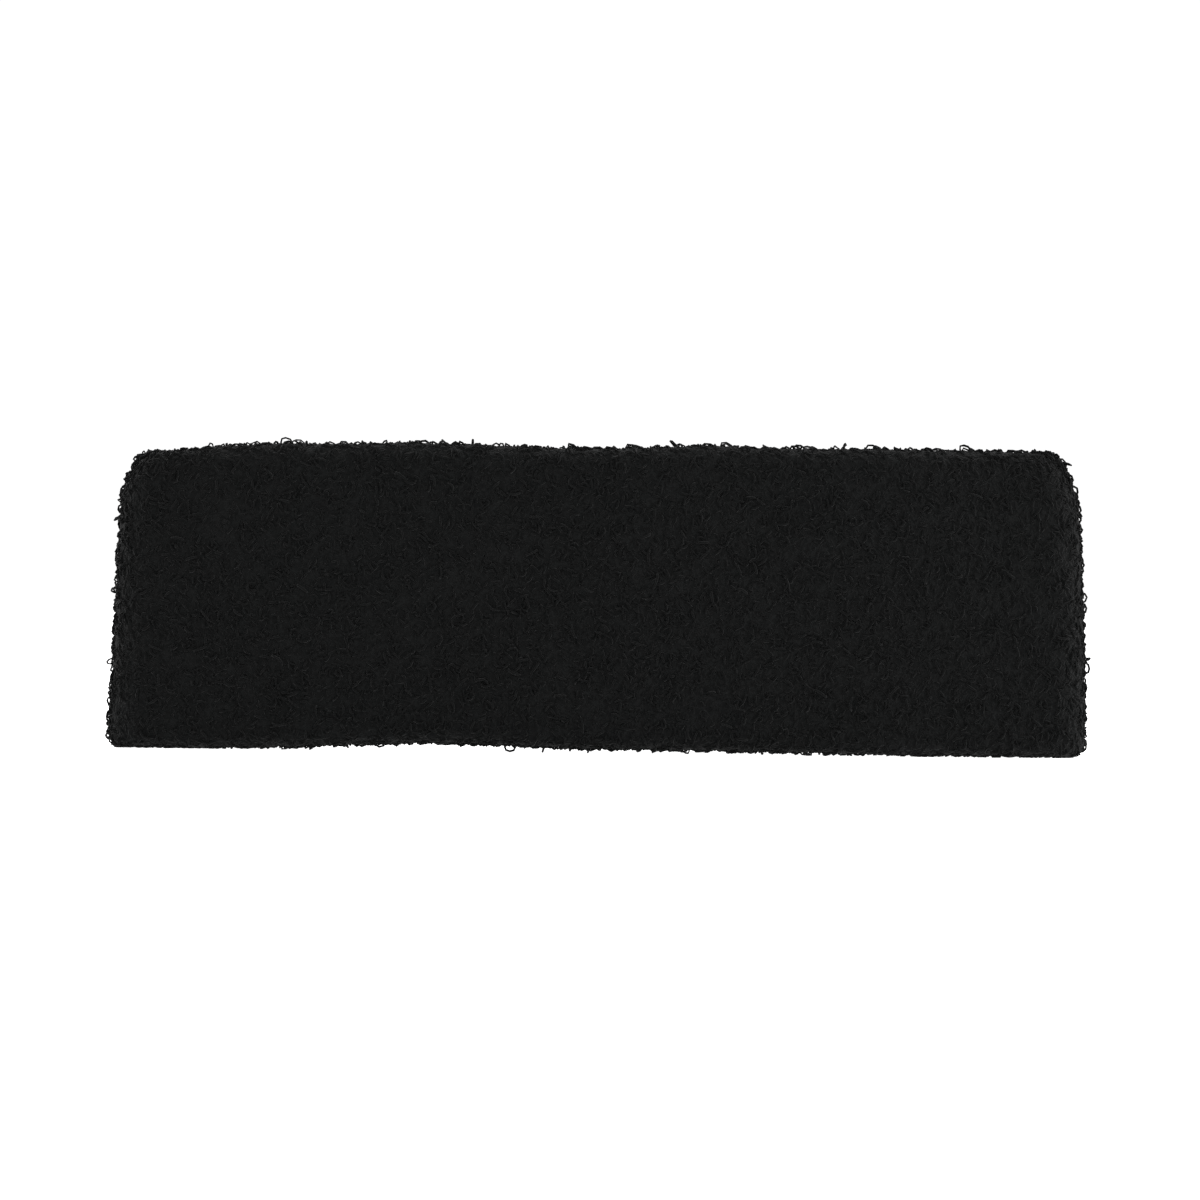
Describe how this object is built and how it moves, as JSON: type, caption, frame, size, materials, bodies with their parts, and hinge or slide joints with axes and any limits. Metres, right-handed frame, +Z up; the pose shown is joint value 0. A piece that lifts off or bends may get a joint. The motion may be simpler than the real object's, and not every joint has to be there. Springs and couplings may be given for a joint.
{
  "type": "sports headband",
  "caption": "Closed loop of thick terry knit, folded double, worn round the forehead to soak up sweat; it opens from a flat shape into a ring.",
  "frame": {"origin": "centre of the loop, on the surface that its lower edge stands on", "axes": "+X to the wearer's left along the band, -Y out of the front, +Z up through the loop"},
  "size_m": [0.18, 0.031, 0.056],
  "materials": {
    "terry_pile": "matt black looped cotton",
    "ground_knit": "matt black plain knit",
    "elastic_yarn": "black covered elastic",
    "seam_thread": "black polyester thread, slight sheen"
  },
  "bodies": {
    "front": {"terry_pile_front": "terry_pile", "ground_knit_front": "ground_knit", "elastic_yarns_front": "elastic_yarn", "seam_thread_front": "seam_thread"},
    "left_front": {"terry_pile_left_front": "terry_pile", "ground_knit_left_front": "ground_knit", "elastic_yarns_left_front": "elastic_yarn", "seam_thread_left_front": "seam_thread"},
    "right_front": {"terry_pile_right_front": "terry_pile", "ground_knit_right_front": "ground_knit", "elastic_yarns_right_front": "elastic_yarn", "seam_thread_right_front": "seam_thread"},
    "left_back": {"terry_pile_left_back": "terry_pile", "ground_knit_left_back": "ground_knit", "elastic_yarns_left_back": "elastic_yarn", "seam_thread_left_back": "seam_thread"},
    "right_back": {"terry_pile_right_back": "terry_pile", "ground_knit_right_back": "ground_knit", "elastic_yarns_right_back": "elastic_yarn", "seam_thread_right_back": "seam_thread"},
    "back_left": {"terry_pile_back_left": "terry_pile", "ground_knit_back_left": "ground_knit", "elastic_yarns_back_left": "elastic_yarn", "seam_thread_back_left": "seam_thread"},
    "back_right": {"terry_pile_back_right": "terry_pile", "ground_knit_back_right": "ground_knit", "elastic_yarns_back_right": "elastic_yarn", "seam_thread_back_right": "seam_thread"}
  },
  "joints": [
    {"name": "front_left_corner", "type": "hinge", "parent": "front", "child": "left_front", "pos_m": [-0.02991, -0.0078, 0.028], "axis": [0, 0, -1], "range_deg": [0, 51.5]},
    {"name": "left_fold", "type": "hinge", "parent": "left_front", "child": "left_back", "pos_m": [-0.09, 0, 0.028], "axis": [0, 0, 1], "range_deg": [0, 103]},
    {"name": "back_left_corner", "type": "hinge", "parent": "left_back", "child": "back_left", "pos_m": [-0.02991, 0.0078, 0.028], "axis": [0, 0, -1], "range_deg": [0, 51.5]},
    {"name": "front_right_corner", "type": "hinge", "parent": "front", "child": "right_front", "pos_m": [0.02991, -0.0078, 0.028], "axis": [0, 0, 1], "range_deg": [0, 51.5]},
    {"name": "right_fold", "type": "hinge", "parent": "right_front", "child": "right_back", "pos_m": [0.09, 0, 0.028], "axis": [0, 0, -1], "range_deg": [0, 103]},
    {"name": "back_right_corner", "type": "hinge", "parent": "right_back", "child": "back_right", "pos_m": [0.02991, 0.0078, 0.028], "axis": [0, 0, 1], "range_deg": [0, 51.5]}
  ],
  "couplings": [
    {"joint": "left_fold", "follows": "front_left_corner", "ratio": 2},
    {"joint": "back_left_corner", "follows": "front_left_corner", "ratio": 1},
    {"joint": "front_right_corner", "follows": "front_left_corner", "ratio": 1},
    {"joint": "right_fold", "follows": "front_left_corner", "ratio": 2},
    {"joint": "back_right_corner", "follows": "front_left_corner", "ratio": 1}
  ]
}
